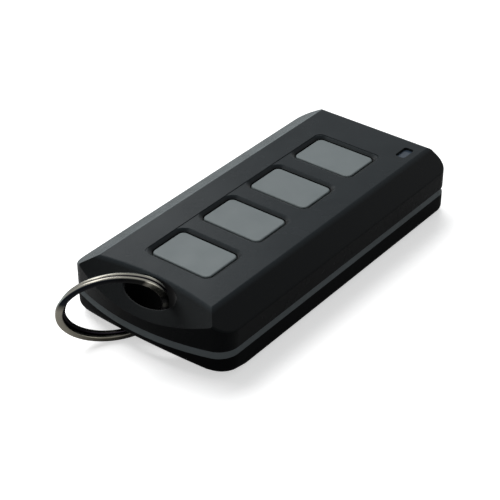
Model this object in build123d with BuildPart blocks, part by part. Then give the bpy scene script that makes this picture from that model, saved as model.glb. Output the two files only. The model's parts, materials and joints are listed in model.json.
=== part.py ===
from build123d import *
from math import atan2, cos, radians, sin, sqrt, tan
import os

# Four-key remote transmitter on a split ring. The origin is on the underside, in the middle of the
# housing, +Z is up and +Y runs along the housing, away from the ring. Millimetres.

# Housing
housing_length = 78.6
housing_width = 37.9
housing_thickness = 13.1
wall_thickness = 1.6
floor_thickness = 1.4
side_slope_width = 5.35
shoulder_height = 10.0
ring_end_arc_radius = 50.0
ring_end_corner_radius = 4.5
far_corner_radius = 3.5
facet_start = 7.4
facet_angle = 32.4
dish_radius = 112.0
crease_radius = 0.5
far_edge_radius = 1.2
bottom_edge_radius = 1.6
lower_rim_share = 0.75
relief_length = 9.4
relief_angle = 10.5
relief_dish_radius = 80.0
relief_dish_rise = 1.3
smallest_plan_corner = 0.5
boss_overlap = 0.4

# How far a face leans before it no longer counts as upright, and an edge before it no longer counts as level
upright_limit = 0.01
level_limit = 0.5

# Parting band and the joint of the two covers behind it
band_bottom = 4.53
band_top = 6.11
band_inset_bottom = 0.05
band_inset_top = 0.42
band_depth = 0.85
tongue_top = 7.4
tongue_thickness = 0.7
rabbet_clearance = 0.1

# Eye for the split ring
eye_half_width = 6.1
eye_half_depth = 2.45
eye_bar = 2.1
eye_wall = 1.3
eye_split_height = 5.3
eye_countersink_width = 1.4
eye_countersink_depth = 1.6
eye_upper_rim_radius = 0.2

# Keys and their windows
key_count = 4
key_width = 14.0
key_depth = 9.5
key_corner_radius = 1.3
key_edge_radius = 0.35
key_pitch = 15.15
key_column_centre = 0.94
key_below_plateau = 0.45
key_gap = 0.3
key_travel = 0.3
key_flange = 1.0
key_flange_thickness = 0.9
key_flange_gap = 0.1
window_bevel_width = 0.8
window_bevel_depth = 0.45
tray_margin = 1.1
tray_depth = 0.12
tray_corner_radius = 1.6
stem_radius = 1.5

# Circuit board and switches
board_bottom = 6.6
board_thickness = 1.0
board_side_inset = 2.45
board_ring_end_inset = 14.1
board_far_end_inset = 2.3
board_corner_radius = 1.5
board_notch_gap = 0.4
post_radius = 1.3
pin_radius = 0.6
pin_height = 1.3
pin_gap = 0.08
post_side_inset = 4.75
post_ring_end_inset = 25.3
post_far_end_inset = 14.3
switch_side = 5.2
switch_height = 1.5
switch_leg_length = 0.9
switch_leg_width = 0.7
switch_leg_thickness = 0.2
switch_leg_pitch = 3.5
plunger_radius = 1.7
plunger_stroke_rise = 0.5
plunger_gap = 0.05
plunger_depth = 0.8
plunger_room = 0.45

# Coin cell, contacts
cell_radius = 10.0
cell_height = 3.2
cell_y = -4.0
cell_wall = 0.25
cell_can_below_top = 0.3
cell_cap_inset = 0.8
cell_rib_inset = 2.0
cell_rib_y = 2.0
contact_thickness = 0.3
clip_width = 6.0
clip_foot = 1.6
clip_gap = 0.3
negative_width = 5.0
negative_length = 12.0

# Components on the board
chip_length = 4.9
chip_width = 3.9
chip_height = 1.4
chip_pitch = 1.27
chip_legs_per_side = 4
chip_leg_width = 0.42
chip_leg_reach = 1.0
chip_leg_thickness = 0.25
chip_side_inset = 8.35
chip_ring_end_inset = 29.3
rf_side = 3.0
rf_height = 0.85
rf_x = -7.0
rf_to_antenna = 5.0
crystal_length = 3.2
crystal_width = 2.5
crystal_height = 0.8
crystal_past_antenna = 1.0
small_length = 1.6
small_width = 0.8
small_height = 0.6
small_pitch = 2.2
small_count = 3
capacitors_to_chip = 10.0
antenna_width = 0.8
antenna_height = 0.3
antenna_side_inset = 7.45
antenna_to_lamp = 4.35
antenna_length = 14.4
antenna_far_inset = 7.9

# Indicator lamp
lamp_plateau_inset = 2.65
lamp_far_inset = 5.55
slot_width = 2.3
slot_length = 4.1
slot_corner_radius = 0.6
pipe_gap = 0.05
pipe_above_lamp = 0.1
pipe_below_plateau = 0.5
pipe_flange = 0.6
pipe_flange_thickness = 0.8
lamp_height = 0.6

# Screws
screw_side_inset = 6.45
screw_ring_end_inset = 12.4
screw_far_end_inset = 4.3
screw_boss_radius = 2.4
screw_head_radius = 1.5
screw_head_height = 1.3
screw_head_recess = 1.0
screw_shank_radius = 0.8
screw_length = 9.0
screw_clearance = 0.2
screw_thread_clearance = 0.02
screw_boss_split = 6.2
screw_cross_width = 0.4
screw_cross_length = 2.0
screw_cross_depth = 0.6

# Split ring of flat wire
ring_outer_radius = 10.44
ring_wire_width = 1.35
ring_wire_thickness = 0.61
ring_turn_gap = 0.4
ring_wire_corner = 0.2
ring_centre_x = -3.3
ring_past_end = 2.21
ring_centre_height = 9.98
ring_normal = (-0.701, 0.612, 0.365)
ring_step_angle = 36.0
ring_step_start = 165.0
ring_end_setback = 4.0
arcs_per_turn = 4
ring_check_points = 720

# Values that follow
half_length = housing_length / 2
half_width = housing_width / 2
plateau_half_width = half_width - side_slope_width
reach = 2 * housing_length
ceiling = housing_thickness - wall_thickness
slope_angle = atan2(housing_thickness - shoulder_height, half_width - plateau_half_width)
facet_slope = radians(facet_angle)
tongue_inset = wall_thickness - tongue_thickness
rabbet_top = tongue_top + rabbet_clearance
lower_rim_top = lower_rim_share * band_bottom
eye_y = -half_length + eye_bar + eye_half_depth
board_top = board_bottom + board_thickness
key_top = housing_thickness - key_below_plateau
key_flange_top = ceiling - key_flange_gap
key_flange_bottom = key_flange_top - key_flange_thickness
plunger_top = board_top + switch_height + plunger_stroke_rise
cell_top = board_bottom - contact_thickness
cell_bottom = cell_top - cell_height
screw_head_top = screw_head_recess + screw_head_height
pilot_top = screw_head_recess + screw_length + screw_clearance
first_key_y = key_column_centre - (key_count - 1) * key_pitch / 2
key_places = [first_key_y + key_pitch * number for number in range(key_count)]
screw_x = half_width - screw_side_inset
screw_ring_end_y = -half_length + screw_ring_end_inset
screw_far_end_y = half_length - screw_far_end_inset
post_x = half_width - post_side_inset
post_ring_end_y = -half_length + post_ring_end_inset
post_far_end_y = half_length - post_far_end_inset
board_width = housing_width - 2 * board_side_inset
board_ring_end = -half_length + board_ring_end_inset
board_far_end = half_length - board_far_end_inset
cell_cap_radius = cell_radius - cell_cap_inset
cell_rib_length = 2 * (cell_radius - cell_rib_inset)
chip_x = half_width - chip_side_inset
chip_y = -half_length + chip_ring_end_inset
capacitors_y = chip_y + capacitors_to_chip
lamp_x = plateau_half_width - lamp_plateau_inset
lamp_y = half_length - lamp_far_inset
antenna_left = -half_width + antenna_side_inset
antenna_right = lamp_x - antenna_to_lamp
antenna_far = half_length - antenna_far_inset
antenna_near = antenna_far - antenna_length
rf_y = antenna_near - rf_to_antenna
crystal_y = antenna_near + crystal_past_antenna
screw_places = [(-screw_x, screw_ring_end_y), (screw_x, screw_ring_end_y), (0, screw_far_end_y)]
post_places = [(side * post_x, y) for side in (-1, 1) for y in (post_ring_end_y, post_far_end_y)]


def housing_plan(inset):
    """The outline seen from above, moved inwards: straight sides and far end, bowed ring end."""
    side = half_width - inset
    far = half_length - inset
    bow = ring_end_arc_radius - inset
    corner_y = -far + bow - sqrt(bow**2 - side**2)
    with BuildSketch() as plan:
        with BuildLine():
            Polyline((-side, corner_y), (-side, far), (side, far), (side, corner_y))
            ThreePointArc((side, corner_y), (0, -far), (-side, corner_y))
        make_face()
        far_corners = plan.vertices().group_by(Axis.Y)[-1]
        fillet(far_corners, max(far_corner_radius - inset, smallest_plan_corner))
        ring_end_corners = plan.vertices().group_by(Axis.Y)[0]
        fillet(ring_end_corners, max(ring_end_corner_radius - inset, smallest_plan_corner))
    return plan.sketch


def upper_form(inset):
    """The upper half of the housing: raised flat, two side slopes and the dished ring-end face.

    It starts where the two halves of the eye meet, a little below the parting band.
    """
    plan = housing_plan(inset)
    down_slope = Vector(0, -cos(facet_slope), -sin(facet_slope))
    out_of_slope = Vector(0, -sin(facet_slope), cos(facet_slope))
    facet_top = Vector(0, -half_length + facet_start, housing_thickness)
    with BuildPart() as form:
        with BuildSketch(Plane.XY.offset(eye_split_height)):
            add(plan)
        extrude(amount=housing_thickness - inset - eye_split_height)
        for side in (-1, 1):
            out = Vector(side * sin(slope_angle), 0, cos(slope_angle))
            crease = Plane(
                origin=(side * plateau_half_width, 0, housing_thickness), x_dir=(0, 1, 0), z_dir=out
            )
            with BuildSketch(crease.offset(-inset)):
                Rectangle(reach, reach)
            extrude(amount=reach, mode=Mode.SUBTRACT)
        with BuildSketch(
            Plane(origin=facet_top + out_of_slope * dish_radius, x_dir=(1, 0, 0), z_dir=down_slope)
        ):
            Circle(dish_radius + inset)
        extrude(amount=reach, both=True, mode=Mode.SUBTRACT)
    return form.part


def softened(form):
    """The same form with its creases, long shoulders and far top edge rounded."""
    far_edge = Plane.YZ * Location((half_length - far_edge_radius, housing_thickness - far_edge_radius))
    with BuildPart() as soft:
        add(form)
        creases = soft.faces().sort_by(Axis.Z)[-1].edges().sort_by(Axis.Y)[:-1]
        fillet(creases, crease_radius)
        shoulders = soft.edges().filter_by(lambda edge: edge.length > half_length)
        shoulders = shoulders.filter_by(lambda edge: abs(edge.center().Z - shoulder_height) < crease_radius)
        fillet(shoulders, crease_radius)
        with BuildSketch(far_edge):
            Rectangle(reach, reach, align=(Align.MIN, Align.MIN))
            Circle(far_edge_radius, mode=Mode.SUBTRACT)
        extrude(amount=reach, both=True, mode=Mode.SUBTRACT)
    return soft.part


def eye_boss_sketch():
    """The wall round the eye, filled out to the ring end."""
    with BuildSketch() as boss:
        with Locations((0, eye_y)):
            Ellipse(eye_half_width + eye_wall, eye_half_depth + eye_wall)
            Rectangle(2 * (eye_half_width + eye_wall), half_length, align=(Align.CENTER, Align.MAX))
        add(housing_plan(band_depth), mode=Mode.INTERSECT)
    return boss.sketch


def relief_form(raised_by):
    """What the ring end's underside leaves free: a wedge, deepened along the middle for the ring."""
    slope = radians(relief_angle)
    start = -half_length + relief_length
    up_slope = Vector(0, -cos(slope), sin(slope))
    into_body = Vector(0, sin(slope), cos(slope))
    with BuildPart() as relief:
        with BuildSketch(Plane(origin=(0, start, 0), x_dir=(1, 0, 0), z_dir=into_body).offset(raised_by)):
            Rectangle(reach, reach)
        extrude(amount=-reach)
        dish_axis = Vector(0, start, 0) + into_body * (relief_dish_rise - relief_dish_radius)
        with BuildSketch(Plane(origin=dish_axis, x_dir=(1, 0, 0), z_dir=up_slope)):
            Circle(relief_dish_radius + raised_by)
        extrude(amount=reach, both=True)
    return relief.part


os.makedirs("parts", exist_ok=True)

# Top cover: hollow below the raised flat, with a thin rim that laps over the tongue
outside = softened(upper_form(0))
eye_boss = eye_boss_sketch()
with BuildPart() as top_hollow:
    add(upper_form(wall_thickness))
    with BuildSketch(Plane.XY.offset(eye_split_height)):
        add(housing_plan(band_depth))
    extrude(amount=rabbet_top - eye_split_height)
    with BuildSketch(Plane.XY.offset(eye_split_height)):
        add(eye_boss)
    extrude(amount=housing_thickness, mode=Mode.SUBTRACT)

with BuildPart() as top_cover:
    add(outside)
    with BuildSketch(Plane.XY.offset(eye_split_height)):
        Rectangle(reach, reach)
        add(eye_boss, mode=Mode.SUBTRACT)
    extrude(amount=band_top - eye_split_height, mode=Mode.SUBTRACT)
    add(top_hollow.part, mode=Mode.SUBTRACT)
    for x, y in screw_places:
        with BuildSketch(Plane(origin=(x, y, screw_boss_split))):
            Circle(screw_boss_radius)
        extrude(amount=ceiling + boss_overlap - screw_boss_split)
        with BuildSketch(Plane(origin=(x, y, screw_boss_split))):
            Circle(screw_shank_radius + screw_thread_clearance)
        extrude(amount=pilot_top - screw_boss_split, mode=Mode.SUBTRACT)
    tray_length = (key_count - 1) * key_pitch + key_depth + 2 * tray_margin
    with BuildSketch(Plane(origin=(0, key_column_centre, housing_thickness))):
        RectangleRounded(key_width + 2 * tray_margin, tray_length, tray_corner_radius)
    extrude(amount=-tray_depth, mode=Mode.SUBTRACT)
    window_width = key_width + 2 * key_gap
    window_depth = key_depth + 2 * key_gap
    window_corner = key_corner_radius + key_gap
    window_edge = housing_thickness - tray_depth
    for y in key_places:
        with BuildSketch(Plane(origin=(0, y, ceiling - wall_thickness))):
            RectangleRounded(window_width, window_depth, window_corner)
        extrude(amount=2 * wall_thickness, mode=Mode.SUBTRACT)
        with BuildSketch(Plane(origin=(0, y, window_edge - window_bevel_depth))):
            RectangleRounded(window_width, window_depth, window_corner)
        with BuildSketch(Plane(origin=(0, y, window_edge))):
            RectangleRounded(
                window_width + 2 * window_bevel_width,
                window_depth + 2 * window_bevel_width,
                window_corner + window_bevel_width,
            )
        loft(mode=Mode.SUBTRACT)
    with BuildSketch(Plane(origin=(lamp_x, lamp_y, ceiling - wall_thickness))):
        RectangleRounded(slot_width, slot_length, slot_corner_radius)
    extrude(amount=3 * wall_thickness, mode=Mode.SUBTRACT)
    with BuildSketch(Plane(origin=(0, eye_y, 0))):
        Ellipse(eye_half_width, eye_half_depth)
    extrude(amount=2 * housing_thickness, mode=Mode.SUBTRACT)
    eye_rim = top_cover.edges().filter_by(lambda edge: edge.center().Z > band_top)
    eye_rim = eye_rim.filter_by(lambda edge: abs(edge.center().Y - eye_y) < eye_half_depth)
    eye_rim = eye_rim.filter_by(lambda edge: abs(edge.center().X) < eye_half_width)
    eye_rim = eye_rim.sort_by(SortBy.LENGTH)[-1]
    fillet(eye_rim, eye_upper_rim_radius)
top_cover.part.label = "top_cover"
export_step(top_cover.part, "parts/top_cover.step")

# Bottom cover: a shallow tray with a tongue round its rim, bosses, posts and two ribs for the cell
with BuildPart() as bottom_hollow:
    with BuildSketch(Plane.XY.offset(floor_thickness)):
        add(housing_plan(wall_thickness))
        add(eye_boss, mode=Mode.SUBTRACT)
    extrude(amount=housing_thickness)
    add(relief_form(floor_thickness), mode=Mode.SUBTRACT)

with BuildPart() as bottom_cover:
    with BuildSketch():
        add(housing_plan(0))
    extrude(amount=band_bottom)
    add(relief_form(0), mode=Mode.SUBTRACT)
    walls = bottom_cover.faces().filter_by(lambda face: abs(face.normal_at().Z) < upright_limit)
    lower_rim = walls.edges().filter_by(lambda edge: edge.bounding_box().max.Z < lower_rim_top)
    lower_rim = lower_rim.filter_by(lambda edge: abs(edge.tangent_at(0.5).Z) < level_limit)
    fillet(lower_rim, bottom_edge_radius)
    with BuildSketch(Plane.XY.offset(band_bottom)):
        add(housing_plan(tongue_inset))
        with Locations((0, -half_length)):
            Rectangle(2 * (eye_half_width + eye_wall + rabbet_clearance), half_length, mode=Mode.SUBTRACT)
        add(eye_boss)
    extrude(amount=eye_split_height - band_bottom)
    with BuildSketch(Plane.XY.offset(eye_split_height)):
        add(housing_plan(tongue_inset))
        with Locations((0, -half_length)):
            Rectangle(2 * (eye_half_width + eye_wall + rabbet_clearance), half_length, mode=Mode.SUBTRACT)
    extrude(amount=tongue_top - eye_split_height)
    add(bottom_hollow.part, mode=Mode.SUBTRACT)
    for x, y in screw_places:
        with BuildSketch(Plane(origin=(x, y, floor_thickness / 2))):
            Circle(screw_boss_radius)
        extrude(amount=screw_boss_split - floor_thickness / 2)
        with BuildSketch(Plane(origin=(x, y, 0))):
            Circle(screw_head_radius + screw_clearance)
        extrude(amount=screw_head_top, mode=Mode.SUBTRACT)
        with BuildSketch(Plane(origin=(x, y, 0))):
            Circle(screw_shank_radius + screw_clearance)
        extrude(amount=screw_boss_split, mode=Mode.SUBTRACT)
    for x, y in post_places:
        with BuildSketch(Plane(origin=(x, y, floor_thickness / 2))):
            Circle(post_radius)
        extrude(amount=board_bottom - floor_thickness / 2)
        with BuildSketch(Plane(origin=(x, y, board_bottom))):
            Circle(pin_radius)
        extrude(amount=pin_height)
    for side in (-1, 1):
        with BuildSketch(Plane(origin=(0, cell_y + side * cell_rib_y, floor_thickness / 2))):
            Rectangle(cell_rib_length, wall_thickness / 2)
        extrude(amount=cell_bottom - contact_thickness - floor_thickness / 2)
    with BuildSketch(Plane(origin=(0, eye_y, -housing_thickness))):
        Ellipse(eye_half_width, eye_half_depth)
    extrude(amount=2 * housing_thickness, mode=Mode.SUBTRACT)
    relief_at_eye = (relief_length - half_length - eye_y) * tan(radians(relief_angle)) + relief_dish_rise
    relief_up = (0, sin(radians(relief_angle)), cos(radians(relief_angle)))
    for height, widening in (
        (-eye_countersink_depth, 2 * eye_countersink_width),
        (eye_countersink_depth, 0),
    ):
        at_rim = (0, eye_y, relief_at_eye + height)
        with BuildSketch(Plane(origin=at_rim, x_dir=(1, 0, 0), z_dir=relief_up)):
            Ellipse(eye_half_width + widening, eye_half_depth + widening)
    loft(mode=Mode.SUBTRACT)
bottom_cover.part.label = "bottom_cover"
export_step(bottom_cover.part, "parts/bottom_cover.step")

# Parting seal: a band with a sloping outer face, held between the two rims
with BuildPart() as parting_seal:
    with BuildSketch(Plane.XY.offset(band_bottom)):
        add(housing_plan(band_inset_bottom))
    with BuildSketch(Plane.XY.offset(band_top)):
        add(housing_plan(band_inset_top))
    loft()
    with BuildSketch(Plane.XY.offset(band_bottom)):
        add(housing_plan(band_depth))
    extrude(amount=band_top - band_bottom, mode=Mode.SUBTRACT)
parting_seal.part.label = "parting_seal"
export_step(parting_seal.part, "parts/parting_seal.step")

# Keys: a cap with softened edges, a flange that stays under the cover, and a stem to the switch
for number, y in enumerate(key_places, start=1):
    with BuildPart() as key:
        with BuildSketch(Plane(origin=(0, y, key_flange_bottom))):
            RectangleRounded(key_width, key_depth, key_corner_radius)
        extrude(amount=key_top - key_flange_bottom)
        fillet(key.faces().sort_by(Axis.Z)[-1].edges(), key_edge_radius)
        with BuildSketch(Plane(origin=(0, y, key_flange_bottom))):
            RectangleRounded(
                key_width + 2 * key_flange, key_depth + 2 * key_flange, key_corner_radius + key_flange
            )
        extrude(amount=key_flange_thickness)
        with BuildSketch(Plane(origin=(0, y, plunger_top))):
            Circle(stem_radius)
        extrude(amount=key_flange_bottom - plunger_top)
    key.part.label = f"key_{number}"
    export_step(key.part, f"parts/key_{number}.step")

# Push switches: a square body with four soldered legs, and a plunger that moves with its key
switch_top = board_top + switch_height
for number, y in enumerate(key_places, start=1):
    with BuildPart() as switch_body:
        with BuildSketch(Plane(origin=(0, y, board_top))):
            RectangleRounded(switch_side, switch_side, switch_leg_thickness)
        extrude(amount=switch_height)
        chamfer(switch_body.faces().sort_by(Axis.Z)[-1].edges(), switch_leg_thickness)
        with BuildSketch(Plane(origin=(0, y, board_top))):
            with GridLocations(switch_side + switch_leg_length, switch_leg_pitch, 2, 2):
                Rectangle(switch_leg_length, switch_leg_width)
        extrude(amount=switch_leg_thickness)
        with BuildSketch(Plane(origin=(0, y, switch_top))):
            Circle(plunger_radius + plunger_gap)
        extrude(amount=-plunger_depth - plunger_room, mode=Mode.SUBTRACT)
    switch_body.part.label = f"switch_body_{number}"
    export_step(switch_body.part, f"parts/switch_body_{number}.step")
    with BuildPart() as plunger:
        with BuildSketch(Plane(origin=(0, y, switch_top - plunger_depth))):
            Circle(plunger_radius)
        extrude(amount=plunger_top - switch_top + plunger_depth)
    plunger.part.label = f"plunger_{number}"
    export_step(plunger.part, f"parts/plunger_{number}.step")

# Circuit board: notched round the screw bosses, with holes for the four locating pins
with BuildPart() as circuit_board:
    with BuildSketch(Plane.XY.offset(board_bottom)):
        with Locations((0, (board_ring_end + board_far_end) / 2)):
            RectangleRounded(board_width, board_far_end - board_ring_end, board_corner_radius)
        with Locations(screw_places):
            Circle(screw_boss_radius + board_notch_gap, mode=Mode.SUBTRACT)
        with Locations(post_places):
            Circle(pin_radius + pin_gap, mode=Mode.SUBTRACT)
    extrude(amount=board_thickness)
circuit_board.part.label = "circuit_board"
export_step(circuit_board.part, "parts/circuit_board.step")

# Coin cell under the board: can, gasket, cap and what lies between them
can_top = cell_top - cell_can_below_top
with BuildPart() as cell_can:
    with BuildSketch(Plane(origin=(0, cell_y, cell_bottom))):
        Circle(cell_radius)
    extrude(amount=can_top - cell_bottom)
    with BuildSketch(Plane(origin=(0, cell_y, cell_bottom + cell_wall))):
        Circle(cell_radius - cell_wall)
    extrude(amount=cell_height, mode=Mode.SUBTRACT)
cell_can.part.label = "cell_can"
export_step(cell_can.part, "parts/cell_can.step")

with BuildPart() as cell_cap:
    with BuildSketch(Plane(origin=(0, cell_y, cell_bottom + 2 * cell_wall))):
        Circle(cell_cap_radius)
    extrude(amount=cell_height - 2 * cell_wall)
    with BuildSketch(Plane(origin=(0, cell_y, cell_bottom))):
        Circle(cell_cap_radius - cell_wall)
    extrude(amount=cell_height - cell_wall, mode=Mode.SUBTRACT)
cell_cap.part.label = "cell_cap"
export_step(cell_cap.part, "parts/cell_cap.step")

with BuildPart() as cell_gasket:
    with BuildSketch(Plane(origin=(0, cell_y, cell_bottom + cell_wall))):
        Circle(cell_radius - cell_wall)
        Circle(cell_cap_radius - cell_wall, mode=Mode.SUBTRACT)
    extrude(amount=can_top - cell_bottom - cell_wall)
    with BuildSketch(Plane(origin=(0, cell_y, cell_bottom + 2 * cell_wall))):
        Circle(cell_cap_radius)
    extrude(amount=cell_height, mode=Mode.SUBTRACT)
cell_gasket.part.label = "cell_gasket"
export_step(cell_gasket.part, "parts/cell_gasket.step")

with BuildPart() as cell_electrodes:
    with BuildSketch(Plane(origin=(0, cell_y, cell_bottom + cell_wall))):
        Circle(cell_cap_radius - cell_wall)
    extrude(amount=cell_height - 2 * cell_wall)
cell_electrodes.part.label = "cell_electrodes"
export_step(cell_electrodes.part, "parts/cell_electrodes.step")

# Battery clip: a strip under the cell, turned up on both sides and soldered to the board
clip_inside = 2 * (cell_radius + clip_gap)
clip_outside = clip_inside + 2 * contact_thickness
clip_bottom = cell_bottom - contact_thickness
with BuildPart() as battery_clip:
    with BuildSketch(Plane.XZ.offset(-cell_y)):
        with Locations((0, clip_bottom)):
            Rectangle(clip_outside, board_bottom - clip_bottom, align=(Align.CENTER, Align.MIN))
        with Locations((0, board_bottom)):
            Rectangle(clip_outside + 2 * clip_foot, contact_thickness, align=(Align.CENTER, Align.MAX))
        with Locations((0, cell_bottom)):
            Rectangle(clip_inside, board_bottom, align=(Align.CENTER, Align.MIN), mode=Mode.SUBTRACT)
    extrude(amount=clip_width / 2, both=True)
battery_clip.part.label = "battery_clip"
export_step(battery_clip.part, "parts/battery_clip.step")

with BuildPart() as negative_contact:
    with BuildSketch(Plane(origin=(0, cell_y, cell_top))):
        RectangleRounded(negative_width, negative_length, contact_thickness)
    extrude(amount=contact_thickness)
negative_contact.part.label = "negative_contact"
export_step(negative_contact.part, "parts/negative_contact.step")

# Microcontroller: a moulded body on eight bent legs
with BuildPart() as microcontroller:
    with BuildSketch(Plane(origin=(chip_x, chip_y, board_top + chip_leg_thickness / 2))):
        Rectangle(chip_width, chip_length)
    extrude(amount=chip_height)
    chamfer(microcontroller.faces().sort_by(Axis.Z)[-1].edges(), chip_leg_thickness / 2)
    for row in range(chip_legs_per_side):
        leg_y = chip_y + (row - (chip_legs_per_side - 1) / 2) * chip_pitch
        for side in (-1, 1):
            leg_x = chip_x + side * (chip_width + chip_leg_reach) / 2
            knee_x = chip_x + side * (chip_width / 2 + chip_leg_thickness)
            with BuildSketch(Plane(origin=(leg_x, leg_y, board_top))):
                Rectangle(chip_leg_reach, chip_leg_width)
            extrude(amount=chip_leg_thickness)
            with BuildSketch(Plane(origin=(knee_x, leg_y, board_top))):
                Rectangle(2 * chip_leg_thickness, chip_leg_width)
            extrude(amount=chip_height / 2)
microcontroller.part.label = "microcontroller"
export_step(microcontroller.part, "parts/microcontroller.step")

with BuildPart() as rf_chip:
    with BuildSketch(Plane(origin=(rf_x, rf_y, board_top))):
        Rectangle(rf_side, rf_side)
    extrude(amount=rf_height)
    chamfer(rf_chip.faces().sort_by(Axis.Z)[-1].edges(), chip_leg_thickness / 2)
rf_chip.part.label = "rf_chip"
export_step(rf_chip.part, "parts/rf_chip.step")

with BuildPart() as crystal:
    with BuildSketch(Plane(origin=(rf_x, crystal_y, board_top))):
        RectangleRounded(crystal_length, crystal_width, chip_leg_width)
    extrude(amount=crystal_height / 2)
    with BuildSketch(Plane(origin=(rf_x, crystal_y, board_top + crystal_height / 2))):
        RectangleRounded(crystal_length - chip_leg_width, crystal_width - chip_leg_width, chip_leg_width)
    extrude(amount=crystal_height / 2)
crystal.part.label = "crystal"
export_step(crystal.part, "parts/crystal.step")

# Capacitors beside the microcontroller and resistors beside the radio chip
for name, x, y, height in (
    ("capacitors", chip_x, capacitors_y, small_width),
    ("resistors", chip_x, rf_y, small_height),
):
    with BuildPart() as small_parts:
        with BuildSketch(Plane(origin=(x, y, board_top))):
            with GridLocations(small_pitch, small_pitch, 1, small_count):
                Rectangle(small_length, small_width)
        extrude(amount=height)
    small_parts.part.label = name
    export_step(small_parts.part, f"parts/{name}.step")

# Aerial: a flat copper loop, open towards the radio chip
with BuildPart() as antenna:
    with BuildSketch(Plane.XY.offset(board_top)):
        with BuildLine():
            Polyline(
                (antenna_left, antenna_near),
                (antenna_left, antenna_far),
                (antenna_right, antenna_far),
                (antenna_right, antenna_near),
            )
            offset(amount=antenna_width, side=Side.RIGHT)
        make_face()
    extrude(amount=antenna_height)
antenna.part.label = "antenna"
export_step(antenna.part, "parts/antenna.step")

# Indicator lamp on the board, and the clear piece that carries its light to the slot
with BuildPart() as led:
    with BuildSketch(Plane(origin=(lamp_x, lamp_y, board_top))):
        Rectangle(small_width, small_length)
    extrude(amount=lamp_height)
led.part.label = "led"
export_step(led.part, "parts/led.step")

pipe_width = slot_width - 2 * pipe_gap
pipe_length = slot_length - 2 * pipe_gap
pipe_bottom = board_top + lamp_height + pipe_above_lamp
with BuildPart() as light_pipe:
    with BuildSketch(Plane(origin=(lamp_x, lamp_y, pipe_bottom))):
        RectangleRounded(pipe_width, pipe_length, slot_corner_radius - pipe_gap)
    extrude(amount=housing_thickness - pipe_below_plateau - pipe_bottom)
    with BuildSketch(Plane(origin=(lamp_x, lamp_y, ceiling))):
        RectangleRounded(pipe_width + 2 * pipe_flange, pipe_length + 2 * pipe_flange, slot_corner_radius)
    extrude(amount=-pipe_flange_thickness)
light_pipe.part.label = "light_pipe"
export_step(light_pipe.part, "parts/light_pipe.step")

# Three identical screws, put in from below
with BuildPart() as cover_screws:
    for x, y in screw_places:
        with BuildSketch(Plane(origin=(x, y, screw_head_recess))):
            Circle(screw_head_radius)
        extrude(amount=screw_head_height)
        with BuildSketch(Plane(origin=(x, y, screw_head_top))):
            Circle(screw_shank_radius)
        extrude(amount=screw_length - screw_head_height)
        with BuildSketch(Plane(origin=(x, y, screw_head_recess))):
            Rectangle(screw_cross_length, screw_cross_width)
            Rectangle(screw_cross_width, screw_cross_length)
        extrude(amount=screw_cross_depth, mode=Mode.SUBTRACT)
cover_screws.part.label = "cover_screws"
export_step(cover_screws.part, "parts/cover_screws.step")

# Split ring: two turns of one flat wire, with one step from the lower turn to the upper one
centre = Vector(ring_centre_x, -half_length - ring_past_end, ring_centre_height)
axis = Vector(ring_normal).normalized()
level = Vector(0, 0, 1).cross(axis).normalized()
steep = axis.cross(level)
ring_radius = ring_outer_radius - ring_wire_width / 2
turn_offset = (ring_wire_thickness + ring_turn_gap) / 2


def ring_point(angle, height):
    """A point of the wire's middle line, by its angle from the level direction and its height."""
    spoke = level * cos(radians(angle)) + steep * sin(radians(angle))
    return centre + spoke * ring_radius + axis * height


def ring_tangent(angle):
    """The direction of a flat turn at an angle."""
    return steep * cos(radians(angle)) - level * sin(radians(angle))


def ring_turn(start, end, height):
    """A flat turn in arcs of a quarter turn or less."""
    step = (end - start) / arcs_per_turn
    return [
        ThreePointArc(
            ring_point(start + number * step, height),
            ring_point(start + (number + 0.5) * step, height),
            ring_point(start + (number + 1) * step, height),
        )
        for number in range(arcs_per_turn)
    ]


step_start = 360 + ring_step_start
step_end = step_start + ring_step_angle
wire_start = step_end - 360 + ring_end_setback
wire_end = step_start + 360 - ring_end_setback
low = ring_point(step_start, -turn_offset)
high = ring_point(step_end, turn_offset)
low_tangent = ring_tangent(step_start)
high_tangent = ring_tangent(step_end)
rise = high - low
square = 2 * (1 - low_tangent.dot(high_tangent))
linear = 2 * rise.dot(low_tangent + high_tangent)
arm = (sqrt(linear**2 + 4 * square * rise.dot(rise)) - linear) / (2 * square)
join = (low + low_tangent * arm + high - high_tangent * arm) / 2
join_tangent = (high - high_tangent * arm - low - low_tangent * arm).normalized()
with BuildLine() as wire_line:
    ring_turn(wire_start, step_start, -turn_offset)
    TangentArc(low, join, tangent=low_tangent)
    TangentArc(join, high, tangent=join_tangent)
    ring_turn(step_end, wire_end, turn_offset)
start_point = ring_point(wire_start, -turn_offset)
start_spoke = (start_point - centre + axis * turn_offset).normalized()
start_plane = Plane(origin=start_point, x_dir=start_spoke, z_dir=ring_tangent(wire_start))
with BuildPart() as split_ring:
    with BuildSketch(start_plane):
        RectangleRounded(ring_wire_width, ring_wire_thickness, ring_wire_corner)
    sweep(path=wire_line.wire())
split_ring.part.label = "split_ring"
export_step(split_ring.part, "parts/split_ring.step")

# The least gap between the two turns, measured between points of the wire's middle line
wire_path = wire_line.wire()
middle_points = [wire_path @ (number / ring_check_points) for number in range(ring_check_points + 1)]
apart = ring_check_points // arcs_per_turn
least_gap = min(
    (first - second).length - ring_wire_thickness
    for number, first in enumerate(middle_points)
    for second in middle_points[number + apart :]
)
print(f"least gap between the turns of the split ring: {least_gap:.3f} mm")
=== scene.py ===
import json
from math import cos, radians, sin

import bpy
from mathutils import Matrix, Vector


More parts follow.
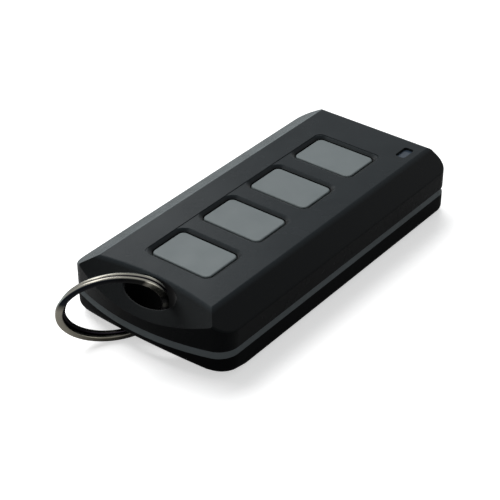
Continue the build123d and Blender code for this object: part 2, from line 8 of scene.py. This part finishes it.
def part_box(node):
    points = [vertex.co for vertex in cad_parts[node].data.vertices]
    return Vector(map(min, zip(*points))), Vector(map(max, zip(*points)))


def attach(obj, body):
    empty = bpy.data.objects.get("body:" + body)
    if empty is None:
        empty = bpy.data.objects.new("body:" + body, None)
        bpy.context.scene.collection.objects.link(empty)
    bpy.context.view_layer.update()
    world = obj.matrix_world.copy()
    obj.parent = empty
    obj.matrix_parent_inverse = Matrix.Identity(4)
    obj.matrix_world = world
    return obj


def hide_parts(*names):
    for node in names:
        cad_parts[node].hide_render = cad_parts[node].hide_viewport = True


# Four-key remote transmitter on a split ring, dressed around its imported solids, in metres.
# Each section finishes one piece or one group of like pieces, in the order they are put together.
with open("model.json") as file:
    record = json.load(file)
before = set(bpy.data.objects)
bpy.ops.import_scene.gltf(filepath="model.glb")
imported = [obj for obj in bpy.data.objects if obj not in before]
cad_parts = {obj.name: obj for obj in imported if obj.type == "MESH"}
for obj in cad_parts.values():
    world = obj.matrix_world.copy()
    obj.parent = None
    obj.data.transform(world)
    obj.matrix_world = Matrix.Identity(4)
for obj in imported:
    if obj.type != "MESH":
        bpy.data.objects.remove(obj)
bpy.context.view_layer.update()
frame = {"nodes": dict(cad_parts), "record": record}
solids = frame["nodes"]

# The photograph's viewpoint: a long lens above the ring end, looking along the keys. The camera's place
# is counted from the near edge of the nearest key, along its own right, up and backward directions.
MM = 0.001
view_azimuth = radians(37.964)
view_elevation = radians(34.101)
lens_width = 36.0
lens_length = 107.65
camera_right, camera_up, camera_back = 13.362, 2.864, 279.482
near_key_edge = Vector((0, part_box("key_1")[0].y + MM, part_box("key_1")[1].z))
view_right = Vector((cos(view_azimuth), sin(view_azimuth), 0))
view_back = Vector(
    (sin(view_azimuth) * cos(view_elevation), -cos(view_azimuth) * cos(view_elevation), sin(view_elevation))
)
view_up = view_back.cross(view_right)
camera_data = bpy.data.cameras.new("camera")
camera_data.sensor_width = lens_width
camera_data.lens = lens_length
camera = bpy.data.objects.new("camera", camera_data)
bpy.context.scene.collection.objects.link(camera)
camera.location = near_key_edge + MM * (
    camera_right * view_right + camera_up * view_up + camera_back * view_back
)
camera.rotation_euler = view_back.to_track_quat("Z", "Y").to_euler()
bpy.context.scene.camera = camera
bpy.context.scene.view_settings.view_transform = "Standard"


# Bottom cover: a shallow tray, injection moulded in black plastic. Its outside carries a fine
# spark-eroded grain, and handling has left it a little unevenly polished. Its colour is painted far darker
# than the top cover's raised flat, as painted shade on walls that face away from the light.
cloud_scale, polish_scale = 90, 260
grain_strength = 0.5


def new_material(name, base_color, roughness, specular=0.5, metallic=0.0):
    """A material with its shader, ready for its own detail."""
    material = bpy.data.materials.new(name)
    material.use_nodes = True
    shader = material.node_tree.nodes["Principled BSDF"]
    shader.inputs["Base Color"].default_value = (*base_color, 1)
    shader.inputs["Roughness"].default_value = roughness
    shader.inputs["Specular IOR Level"].default_value = specular
    shader.inputs["Metallic"].default_value = metallic
    material.diffuse_color = (*base_color, 1)
    return material, material.node_tree.nodes, material.node_tree.links, shader


def noise_field(nodes, links, scale, detail=3.0, stretch=(1, 1, 1)):
    """A fine noise fixed to the object. Every scale in this file is in cycles per metre."""
    place = nodes.new("ShaderNodeTexCoord")
    mapping = nodes.new("ShaderNodeMapping")
    mapping.inputs["Scale"].default_value = stretch
    noise = nodes.new("ShaderNodeTexNoise")
    noise.inputs["Scale"].default_value = scale
    noise.inputs["Detail"].default_value = detail
    links.new(place.outputs["Object"], mapping.inputs["Vector"])
    links.new(mapping.outputs["Vector"], noise.inputs["Vector"])
    return noise.outputs["Fac"]


def spread(nodes, links, field, low, high, start=0.3, end=0.7):
    """A field turned into a number between low and high."""
    span = nodes.new("ShaderNodeMapRange")
    span.inputs["From Min"].default_value = start
    span.inputs["From Max"].default_value = end
    span.inputs["To Min"].default_value = low
    span.inputs["To Max"].default_value = high
    links.new(field, span.inputs["Value"])
    return span.outputs["Result"]


def tint(nodes, links, factor, first, second):
    """A colour between two colours, each a colour or another node's output."""
    mix = nodes.new("ShaderNodeMix")
    mix.data_type = "RGBA"
    for socket, color in (("A", first), ("B", second)):
        if isinstance(color, tuple):
            mix.inputs[socket].default_value = (*color, 1)
        else:
            links.new(color, mix.inputs[socket])
    links.new(factor, mix.inputs["Factor"])
    return mix.outputs["Result"]


def bump(nodes, links, shader, height, strength, distance):
    """Fine relief, distance in metres."""
    relief = nodes.new("ShaderNodeBump")
    relief.inputs["Strength"].default_value = strength
    relief.inputs["Distance"].default_value = distance
    links.new(height, relief.inputs["Height"])
    links.new(relief.outputs["Normal"], shader.inputs["Normal"])


def moulded_plastic(name, dark, light, roughness, specular, grain_size=0.22 * MM, grain_depth=0.008 * MM):
    """Moulded plastic: faint colour clouds, an uneven shine and a spark-eroded grain."""
    material, nodes, links, shader = new_material(name, light, roughness, specular)
    clouds = spread(nodes, links, noise_field(nodes, links, cloud_scale, 4), 0, 1)
    links.new(tint(nodes, links, clouds, dark, light), shader.inputs["Base Color"])
    shine = noise_field(nodes, links, polish_scale, 3)
    links.new(spread(nodes, links, shine, roughness - 0.04, roughness + 0.05), shader.inputs["Roughness"])
    bump(nodes, links, shader, noise_field(nodes, links, 1 / grain_size, 2), grain_strength, grain_depth)
    return material


def dress(material, *names):
    """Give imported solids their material."""
    for name in names:
        mesh = solids[name].data
        mesh.materials.clear()
        mesh.materials.append(material)


# Painted shade: this copy of the housing plastic is set far darker than the top cover's raised flat.
cover_bottom_painted_shade_plastic = moulded_plastic(
    "cover_bottom_painted_shade_plastic",
    dark=(0.0018, 0.002, 0.0022),
    light=(0.003, 0.0033, 0.0036),
    roughness=0.42,
    specular=0.035,
)
dress(cover_bottom_painted_shade_plastic, "bottom_cover")


# Coin cell and its contacts: a nickel-plated drawn can and cap with a nylon gasket between them, held by
# a stamped clip under it and a flat spring leaf on it, both soldered to the board.
plating_scale = 300
line_strength, line_depth = 0.25, 0.004 * MM


def plated_metal(name, dark, light, roughness, stretch, scale=1500):
    """Plated sheet: fine rolling lines along one direction and a slightly clouded shine."""
    material, nodes, links, shader = new_material(name, light, roughness, metallic=1.0)
    lines = noise_field(nodes, links, scale, 4, stretch)
    links.new(tint(nodes, links, spread(nodes, links, lines, 0, 1), dark, light), shader.inputs["Base Color"])
    clouds = noise_field(nodes, links, plating_scale, 3)
    links.new(spread(nodes, links, clouds, roughness - 0.06, roughness + 0.08), shader.inputs["Roughness"])
    bump(nodes, links, shader, lines, line_strength, line_depth)
    return material


cell_steel = plated_metal(
    "cell_steel", dark=(0.50, 0.50, 0.51), light=(0.66, 0.66, 0.67), roughness=0.28, stretch=(1, 0.08, 1)
)
gasket_nylon = moulded_plastic(
    "gasket_nylon",
    dark=(0.18, 0.185, 0.19),
    light=(0.24, 0.245, 0.25),
    roughness=0.45,
    specular=0.4,
    grain_size=0.3 * MM,
)
electrode_mass = moulded_plastic(
    "electrode_mass",
    dark=(0.015, 0.015, 0.016),
    light=(0.03, 0.03, 0.032),
    roughness=0.8,
    specular=0.2,
    grain_size=0.12 * MM,
    grain_depth=0.03 * MM,
)
contact_strip = plated_metal(
    "contact_strip",
    dark=(0.55, 0.53, 0.49),
    light=(0.72, 0.70, 0.65),
    roughness=0.24,
    stretch=(0.08, 1, 1),
    scale=2200,
)
dress(cell_steel, "cell_can", "cell_cap")
dress(gasket_nylon, "cell_gasket")
dress(electrode_mass, "cell_electrodes")
dress(contact_strip, "battery_clip", "negative_contact")

# Circuit board: glass-fibre laminate under green solder mask. The copper runs below the mask show as
# slightly paler, raised lines, and the weave of the glass shows faintly between them.
track_pitch = 1.27 * MM
track_share = 0.22
track_height, track_relief = 0.03 * MM, 0.6
weave_scale, weave_stretch = 2600, (1, 0.3, 1)
mask_dark, mask_light, mask_over_copper = (0.010, 0.075, 0.026), (0.016, 0.105, 0.038), (0.035, 0.19, 0.062)
board_mask, nodes, links, shader = new_material("board_mask", (0.012, 0.085, 0.03), roughness=0.24)
place = nodes.new("ShaderNodeTexCoord")
tracks = nodes.new("ShaderNodeTexBrick")
tracks.inputs["Scale"].default_value = 1
tracks.inputs["Brick Width"].default_value = 5 * track_pitch
tracks.inputs["Row Height"].default_value = track_pitch
tracks.inputs["Mortar Size"].default_value = track_share * track_pitch
tracks.inputs["Mortar Smooth"].default_value = 0.2
links.new(place.outputs["Object"], tracks.inputs["Vector"])
weave = noise_field(nodes, links, weave_scale, 2, weave_stretch)
mask_green = tint(nodes, links, spread(nodes, links, weave, 0, 1), mask_dark, mask_light)
mask_green = tint(nodes, links, tracks.outputs["Fac"], mask_green, mask_over_copper)
links.new(mask_green, shader.inputs["Base Color"])
links.new(spread(nodes, links, weave, 0.2, 0.32), shader.inputs["Roughness"])
bump(nodes, links, shader, tracks.outputs["Fac"], track_relief, track_height)
dress(board_mask, "circuit_board")

# Chips and resistors: silicon or a ceramic chip in filled black epoxy with a fine matt skin, moulded or
# printed on, and soldered to the top of the board.
chip_resin = moulded_plastic(
    "chip_resin",
    dark=(0.013, 0.013, 0.014),
    light=(0.026, 0.026, 0.028),
    roughness=0.55,
    specular=0.35,
    grain_size=0.09 * MM,
    grain_depth=0.012 * MM,
)
dress(chip_resin, "microcontroller", "rf_chip", "resistors")

# Crystal: a quartz plate in a small drawn can, tin plated and welded shut round its foot, soldered to
# the board beside the radio chip.
crystal_can = plated_metal(
    "crystal_can",
    dark=(0.52, 0.51, 0.49),
    light=(0.70, 0.69, 0.66),
    roughness=0.22,
    stretch=(1, 0.1, 1),
    scale=2500,
)
dress(crystal_can, "crystal")

# Capacitors: blocks of bare sintered ceramic, buff brown and slightly mottled, cut from a stacked sheet
# before firing and soldered by their ends.
capacitor_ceramic = moulded_plastic(
    "capacitor_ceramic",
    dark=(0.32, 0.22, 0.12),
    light=(0.44, 0.31, 0.18),
    roughness=0.5,
    specular=0.4,
    grain_size=0.15 * MM,
)
dress(capacitor_ceramic, "capacitors")

# Aerial: a strip of stamped copper with the fine lines of rolling still on it, soldered flat on the
# board and starting to dull.
aerial_copper = plated_metal(
    "aerial_copper", dark=(0.45, 0.22, 0.11), light=(0.70, 0.38, 0.20), roughness=0.3, stretch=(1, 0.15, 1)
)
dress(aerial_copper, "antenna")

# Push switches: four moulded bodies in black nylon, soldered to the board under the keys. Each has an
# ivory acetal plunger that follows its key down.
switch_nylon = moulded_plastic(
    "switch_nylon",
    dark=(0.02, 0.02, 0.021),
    light=(0.035, 0.035, 0.037),
    roughness=0.5,
    specular=0.35,
    grain_size=0.16 * MM,
)
plunger_acetal = moulded_plastic(
    "plunger_acetal",
    dark=(0.50, 0.47, 0.40),
    light=(0.60, 0.57, 0.50),
    roughness=0.4,
    specular=0.4,
    grain_size=0.3 * MM,
    grain_depth=0.004 * MM,
)
for number in range(1, 5):
    dress(switch_nylon, f"switch_body_{number}")
    dress(plunger_acetal, f"plunger_{number}")

# Indicator lamp: a tiny block of milky cast resin over the light-emitting chip, soldered to the board
# below the window.
lamp_resin = moulded_plastic(
    "lamp_resin",
    dark=(0.60, 0.58, 0.48),
    light=(0.72, 0.70, 0.60),
    roughness=0.3,
    specular=0.5,
    grain_size=0.2 * MM,
    grain_depth=0.003 * MM,
)
dress(lamp_resin, "led")

# Keys: four caps moulded in mid grey, held under the top cover by their flanges. The grain is the
# cover's, but the paler plastic shows it less.
key_plastic = moulded_plastic(
    "key_plastic",
    dark=(0.106, 0.125, 0.129),
    light=(0.119, 0.140, 0.144),
    roughness=0.5,
    specular=0.2,
    grain_size=0.2 * MM,
    grain_depth=0.005 * MM,
)
for number in range(1, 5):
    dress(key_plastic, f"key_{number}")

# Top cover: moulded in the same black plastic with a finer grain. Its rim laps over the bottom cover's
# tongue and the screws draw it down. Its sides below the raised flat are painted far darker than the flat, as
# painted shade on walls that face away from the light.
flat_grey_dark, flat_grey_light = (0.0120, 0.0155, 0.0180), (0.0155, 0.0195, 0.0222)
# Painted shade: the sides below the raised flat are coloured far darker than the flat.
side_painted_shade = (0.002, 0.0023, 0.0026)
flat_start, flat_whole = 12.5 * MM, 13.0 * MM
top_grain_size, top_grain_depth = 0.2 * MM, 0.007 * MM
cover_top_plastic, nodes, links, shader = new_material(
    "cover_top_plastic", (0.015, 0.018, 0.02), roughness=0.34, specular=0.035
)
shader.inputs["Sheen Weight"].default_value = 0.1
shader.inputs["Sheen Roughness"].default_value = 0.45
shader.inputs["Specular Tint"].default_value = (0.86, 0.97, 1.0, 1)
clouds = spread(nodes, links, noise_field(nodes, links, cloud_scale, 4), 0, 1)
flat_grey = tint(nodes, links, clouds, flat_grey_dark, flat_grey_light)
place = nodes.new("ShaderNodeTexCoord")
axes = nodes.new("ShaderNodeSeparateXYZ")
links.new(place.outputs["Object"], axes.inputs["Vector"])
on_raised_flat = spread(nodes, links, axes.outputs["Z"], 0, 1, flat_start, flat_whole)
# Below the raised flat the colour fades to the painted side shade.
links.new(tint(nodes, links, on_raised_flat, side_painted_shade, flat_grey), shader.inputs["Base Color"])
shine = noise_field(nodes, links, polish_scale, 3)
links.new(spread(nodes, links, shine, 0.23, 0.29), shader.inputs["Roughness"])
top_grain = noise_field(nodes, links, 1 / top_grain_size, 2)
bump(nodes, links, shader, top_grain, grain_strength, top_grain_depth)
dress(cover_top_plastic, "top_cover")

# Indicator window: a light pipe moulded in smoked acrylic and pressed up into its slot from inside. It
# is smooth, and dark blue while the lamp below it is off.
window_plastic = moulded_plastic(
    "window_plastic",
    dark=(0.024, 0.036, 0.052),
    light=(0.032, 0.047, 0.068),
    roughness=0.25,
    specular=0.2,
    grain_size=1.2 * MM,
    grain_depth=0.003 * MM,
)
dress(window_plastic, "light_pipe")

# Parting seal: a strip of soft rubber, smooth and a little shiny, pressed into the groove between
# the covers before they close. Its pale grey is a painted highlight for the light caught along the parting
# line.
# Painted highlight: the strip's pale grey stands for light caught along the parting line.
seal_painted_highlight = moulded_plastic(
    "seal_painted_highlight",
    dark=(0.055, 0.066, 0.070),
    light=(0.072, 0.086, 0.091),
    roughness=0.4,
    specular=0.3,
    grain_size=0.4 * MM,
)
dress(seal_painted_highlight, "parting_seal")

# Cover screws: three pan-head screws in zinc-plated steel, driven up from below through the bottom
# cover into bosses of the top one.
screw_zinc = plated_metal(
    "screw_zinc",
    dark=(0.24, 0.24, 0.25),
    light=(0.38, 0.38, 0.39),
    roughness=0.34,
    stretch=(1, 1, 0.2),
    scale=1800,
)
dress(screw_zinc, "cover_screws")

# Split ring: flat nickel-plated spring wire wound into two turns that lie against each other. The turns
# are a little out of line, and the wire steps from one to the other inside the housing's eye.
key_ring = next(mount for mount in frame["record"]["mounts"] if mount["name"] == "key_ring")
ring_centre = Vector(key_ring["pos_m"])
ring_axis = Vector(key_ring["axis"]).normalized()
ring_level = Vector((0, 0, 1)).cross(ring_axis).normalized()
ring_steep = ring_axis.cross(ring_level)
wire_width, wire_height, wire_rounding = 1.33 * MM, 0.78 * MM, 0.22 * MM
turn_spacing = 0.81 * MM
near_radius, far_radius = 9.775 * MM, 9.55 * MM
far_back, far_up = 0.4 * MM, 0.05 * MM
near_centre = ring_centre - ring_axis * turn_spacing / 2
far_centre = ring_centre + ring_axis * turn_spacing / 2 - far_back * ring_level + far_up * ring_steep
step_start, step_angle, step_parts, end_gap = 165, 36, 12, 4
long_sweep, long_sweep_parts = radians(360 - step_angle - end_gap), 200


def ring_spoke(angle):
    """The direction from the ring's centre to a point of the wire."""
    return ring_level * cos(radians(angle)) + ring_steep * sin(radians(angle))


bpy.ops.object.select_all(action="DESELECT")
wire_start = step_start + step_angle + end_gap - 360
start_spoke = ring_spoke(wire_start)
bpy.ops.mesh.primitive_plane_add(size=1)
ring = bpy.context.object
ring.name = "nickel_split_ring"
ring.scale = (wire_width, wire_height, 1)
bpy.ops.object.transform_apply(location=False, rotation=False, scale=True)
bpy.ops.object.mode_set(mode="EDIT")
bpy.ops.mesh.select_all(action="SELECT")
bpy.ops.mesh.bevel(offset=wire_rounding, segments=4, affect="VERTICES")
bpy.ops.object.mode_set(mode="OBJECT")
upright = Matrix((start_spoke, ring_axis, start_spoke.cross(ring_axis))).transposed().to_4x4()
ring.matrix_world = Matrix.Translation(near_centre + start_spoke * near_radius) @ upright
bpy.ops.object.transform_apply(location=True, rotation=True, scale=True)
bpy.ops.object.mode_set(mode="EDIT")
bpy.ops.mesh.select_all(action="SELECT")
bpy.ops.mesh.spin(steps=long_sweep_parts, angle=long_sweep, center=near_centre, axis=-ring_axis)
step_end_spoke = ring_spoke(step_start + step_angle)
step_move = far_centre - near_centre + step_end_spoke * (far_radius - near_radius)
eased = [part / step_parts for part in range(step_parts + 1)]
eased = [share * share * (3 - 2 * share) for share in eased]
step_part = radians(step_angle / step_parts)
for before, after in zip(eased, eased[1:]):
    turn_centre = near_centre + step_move * before
    bpy.ops.mesh.spin(steps=1, angle=step_part, center=turn_centre, axis=-ring_axis)
    bpy.ops.transform.translate(value=step_move * (after - before))
bpy.ops.mesh.spin(steps=long_sweep_parts, angle=long_sweep, center=far_centre, axis=-ring_axis)
bpy.ops.mesh.select_all(action="SELECT")
bpy.ops.mesh.normals_make_consistent(inside=False)
bpy.ops.object.mode_set(mode="OBJECT")
bpy.ops.object.shade_smooth_by_angle(angle=radians(35))

rim_dark, rim_light = (0.19, 0.182, 0.155), (0.27, 0.259, 0.222)
drawing_scale = 9000
drawing_relief, drawing_depth = 0.12, 0.003 * MM
nickel, nodes, links, shader = new_material("nickel", (0.40, 0.38, 0.34), roughness=0.2, metallic=1.0)
place = nodes.new("ShaderNodeTexCoord")
to_ring = nodes.new("ShaderNodeMapping")
to_ring.vector_type = "TEXTURE"
to_ring.inputs["Location"].default_value = ring_centre
ring_turned = Matrix((ring_level, ring_steep, ring_axis)).transposed()
to_ring.inputs["Rotation"].default_value = ring_turned.to_euler()
links.new(place.outputs["Object"], to_ring.inputs["Vector"])
axes = nodes.new("ShaderNodeSeparateXYZ")
links.new(to_ring.outputs["Vector"], axes.inputs["Vector"])
flat = nodes.new("ShaderNodeCombineXYZ")
links.new(axes.outputs["X"], flat.inputs["X"])
links.new(axes.outputs["Y"], flat.inputs["Y"])
radius = nodes.new("ShaderNodeVectorMath")
radius.operation = "LENGTH"
links.new(flat.outputs["Vector"], radius.inputs[0])
across_wire = nodes.new("ShaderNodeCombineXYZ")
links.new(radius.outputs["Value"], across_wire.inputs["X"])
links.new(axes.outputs["Z"], across_wire.inputs["Y"])
drawing_lines = nodes.new("ShaderNodeTexNoise")
drawing_lines.inputs["Scale"].default_value = drawing_scale
drawing_lines.inputs["Detail"].default_value = 3
links.new(across_wire.outputs["Vector"], drawing_lines.inputs["Vector"])
line_shade = spread(nodes, links, drawing_lines.outputs["Fac"], 0, 1)
rim_shade = tint(nodes, links, line_shade, rim_dark, rim_light)

# Colour of the ring: its rim is rubbed bright and the inside wall is coloured darker. The seam between the
# turns
# is painted dark, as painted shade in the crease. The flats carry a painted reflection that changes round the
# ring:
# dark where they would mirror the shaded floor by the housing, pale at the left and at the step into the eye.
inside_end, rim_start = 9.15 * MM, 9.3 * MM
rim_end, flat_edge = 0.52 * MM, 0.66 * MM
seam_half, seam_edge = 0.16 * MM, 0.26 * MM
# The inside wall is coloured darker; the seam colour is painted shade.
inside_darker, seam_painted_shade = (0.10, 0.096, 0.085), (0.02, 0.016, 0.022)
rub_scale = 700
from_seam = nodes.new("ShaderNodeMath")
from_seam.operation = "ABSOLUTE"
links.new(axes.outputs["Z"], from_seam.inputs[0])
around = nodes.new("ShaderNodeMath")
around.operation = "ARCTAN2"
links.new(axes.outputs["Y"], around.inputs[0])
links.new(axes.outputs["X"], around.inputs[1])
painted_reflection_ramp = nodes.new("ShaderNodeValToRGB")
painted_reflection_turn = spread(nodes, links, around.outputs[0], 0, 1, radians(-180), radians(180))
links.new(painted_reflection_turn, painted_reflection_ramp.inputs["Fac"])
# Painted reflection on the flats: each stop is an angle round the ring in degrees and a colour, dark where
# the flats mirror shaded floor, pale where they mirror lit floor and sky.
painted_reflection_shades = (
    (-125, (0.05, 0.05, 0.052)),
    (-80, (0.20, 0.182, 0.145)),
    (-35, (0.72, 0.67, 0.55)),
    (10, (0.85, 0.80, 0.67)),
    (24, (0.02, 0.026, 0.038)),
    (100, (0.008, 0.008, 0.010)),
    (124, (0.03, 0.03, 0.028)),
    (130, (0.78, 0.74, 0.62)),
    (146, (0.70, 0.66, 0.55)),
    (162, (0.015, 0.015, 0.015)),
)
while len(painted_reflection_ramp.color_ramp.elements) < len(painted_reflection_shades):
    painted_reflection_ramp.color_ramp.elements.new(0.5)
for stop, (turned, shade) in zip(painted_reflection_ramp.color_ramp.elements, painted_reflection_shades):
    stop.position = (turned + 180) / 360
    stop.color = (*shade, 1)
inside = spread(nodes, links, radius.outputs["Value"], 1, 0, inside_end, rim_start)
ring_shade = tint(nodes, links, inside, rim_shade, inside_darker)
on_flat = spread(nodes, links, from_seam.outputs[0], 0, 1, rim_end, flat_edge)
ring_shade = tint(nodes, links, on_flat, ring_shade, painted_reflection_ramp.outputs["Color"])
# Painted shade along the crease between the two turns.
in_seam = spread(nodes, links, from_seam.outputs[0], 1, 0, seam_half, seam_edge)
ring_shade = tint(nodes, links, in_seam, ring_shade, seam_painted_shade)
links.new(ring_shade, shader.inputs["Base Color"])
rubbed = noise_field(nodes, links, rub_scale, 4)
links.new(spread(nodes, links, rubbed, 0.18, 0.26), shader.inputs["Roughness"])
bump(nodes, links, shader, drawing_lines.outputs["Fac"], drawing_relief, drawing_depth)
ring.data.materials.append(nickel)
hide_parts("split_ring")
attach(ring, "ring")

# Floor and backdrop: a pale sweep that reads white and keeps the shadow. Its colour in shine is painted: a
# painted shade close to the housing and a pale bluish painted light to the left, so the left slope catches it
# while walls and ring stay dark.
floor_reach = 3.0
floor_below = 0.05 * MM
lift_seen, lift_in_shine = 0.55, 0.06
paper_grey, painted_shade_in_shine, painted_light_in_shine = (0.8, 0.8, 0.8), (0.12, 0.12, 0.12), (0.80, 0.96, 1)
painted_light_end, painted_shade_start = -60 * MM, -32 * MM
bpy.ops.object.select_all(action="DESELECT")
bpy.ops.mesh.primitive_plane_add(size=floor_reach, location=(0, 0, -floor_below))
floor = bpy.context.object
floor.name = "floor"
floor_paper, nodes, links, shader = new_material("floor_paper", paper_grey, roughness=0.35)
rays = nodes.new("ShaderNodeLightPath")
seen_directly = nodes.new("ShaderNodeMath")
seen_directly.operation = "MULTIPLY"
seen_directly.inputs[1].default_value = lift_seen
links.new(rays.outputs["Is Camera Ray"], seen_directly.inputs[0])
seen_in_shine = nodes.new("ShaderNodeMath")
seen_in_shine.operation = "MAXIMUM"
links.new(rays.outputs["Is Glossy Ray"], seen_in_shine.inputs[0])
links.new(rays.outputs["Is Transmission Ray"], seen_in_shine.inputs[1])
lift = nodes.new("ShaderNodeMath")
lift.operation = "MULTIPLY_ADD"
lift.inputs[1].default_value = lift_in_shine
links.new(seen_in_shine.outputs[0], lift.inputs[0])
links.new(seen_directly.outputs[0], lift.inputs[2])
shader.inputs["Emission Color"].default_value = (1, 1, 1, 1)
place = nodes.new("ShaderNodeTexCoord")
axes = nodes.new("ShaderNodeSeparateXYZ")
links.new(place.outputs["Object"], axes.inputs["Vector"])
# Painted shade near the housing and painted light to the left, seen only in shine.
lit_side = spread(nodes, links, axes.outputs["X"], 1, 0, painted_light_end, painted_shade_start)
shine_shade = tint(nodes, links, lit_side, painted_shade_in_shine, painted_light_in_shine)
floor_shade = tint(nodes, links, rays.outputs["Is Glossy Ray"], paper_grey, shine_shade)
links.new(floor_shade, shader.inputs["Base Color"])
links.new(lift.outputs[0], shader.inputs["Emission Strength"])
floor.data.materials.append(floor_paper)

# Studio round the object: white to the eye and in shine, with a low even fill for the shadows.
fill_light = 0.24
world = bpy.data.worlds.new("studio")
bpy.context.scene.world = world
world.use_nodes = True
world_nodes, world_links = world.node_tree.nodes, world.node_tree.links
backdrop = world_nodes["Background"]
backdrop.inputs["Color"].default_value = (0.97, 0.99, 1.0, 1)
world_rays = world_nodes.new("ShaderNodeLightPath")
world_shine = world_nodes.new("ShaderNodeMath")
world_shine.operation = "MAXIMUM"
world_links.new(world_rays.outputs["Is Glossy Ray"], world_shine.inputs[0])
world_links.new(world_rays.outputs["Is Transmission Ray"], world_shine.inputs[1])
world_seen = world_nodes.new("ShaderNodeMath")
world_seen.operation = "MAXIMUM"
world_links.new(world_rays.outputs["Is Camera Ray"], world_seen.inputs[0])
world_links.new(world_shine.outputs[0], world_seen.inputs[1])
world_look = world_nodes.new("ShaderNodeMapRange")
world_look.inputs["To Min"].default_value = fill_light
world_look.inputs["To Max"].default_value = 1.0
world_links.new(world_seen.outputs[0], world_look.inputs["Value"])
world_links.new(world_look.outputs["Result"], backdrop.inputs["Strength"])

# Key light: one large softbox high on the left, a little behind the housing.
lamp_azimuth, lamp_elevation = radians(252), radians(50)
lamp_distance, lamp_width, lamp_height, lamp_power = 0.7, 0.7, 0.6, 6.2
lamp_data = bpy.data.lights.new("key_light", "AREA")
lamp_data.shape = "RECTANGLE"
lamp_data.size = lamp_width
lamp_data.size_y = lamp_height
lamp_data.energy = lamp_power
lamp = bpy.data.objects.new("key_light", lamp_data)
bpy.context.scene.collection.objects.link(lamp)
to_lamp = Vector(
    (sin(lamp_azimuth) * cos(lamp_elevation), -cos(lamp_azimuth) * cos(lamp_elevation), sin(lamp_elevation))
)
lamp.location = to_lamp * lamp_distance
lamp.rotation_euler = to_lamp.to_track_quat("Z", "Y").to_euler()
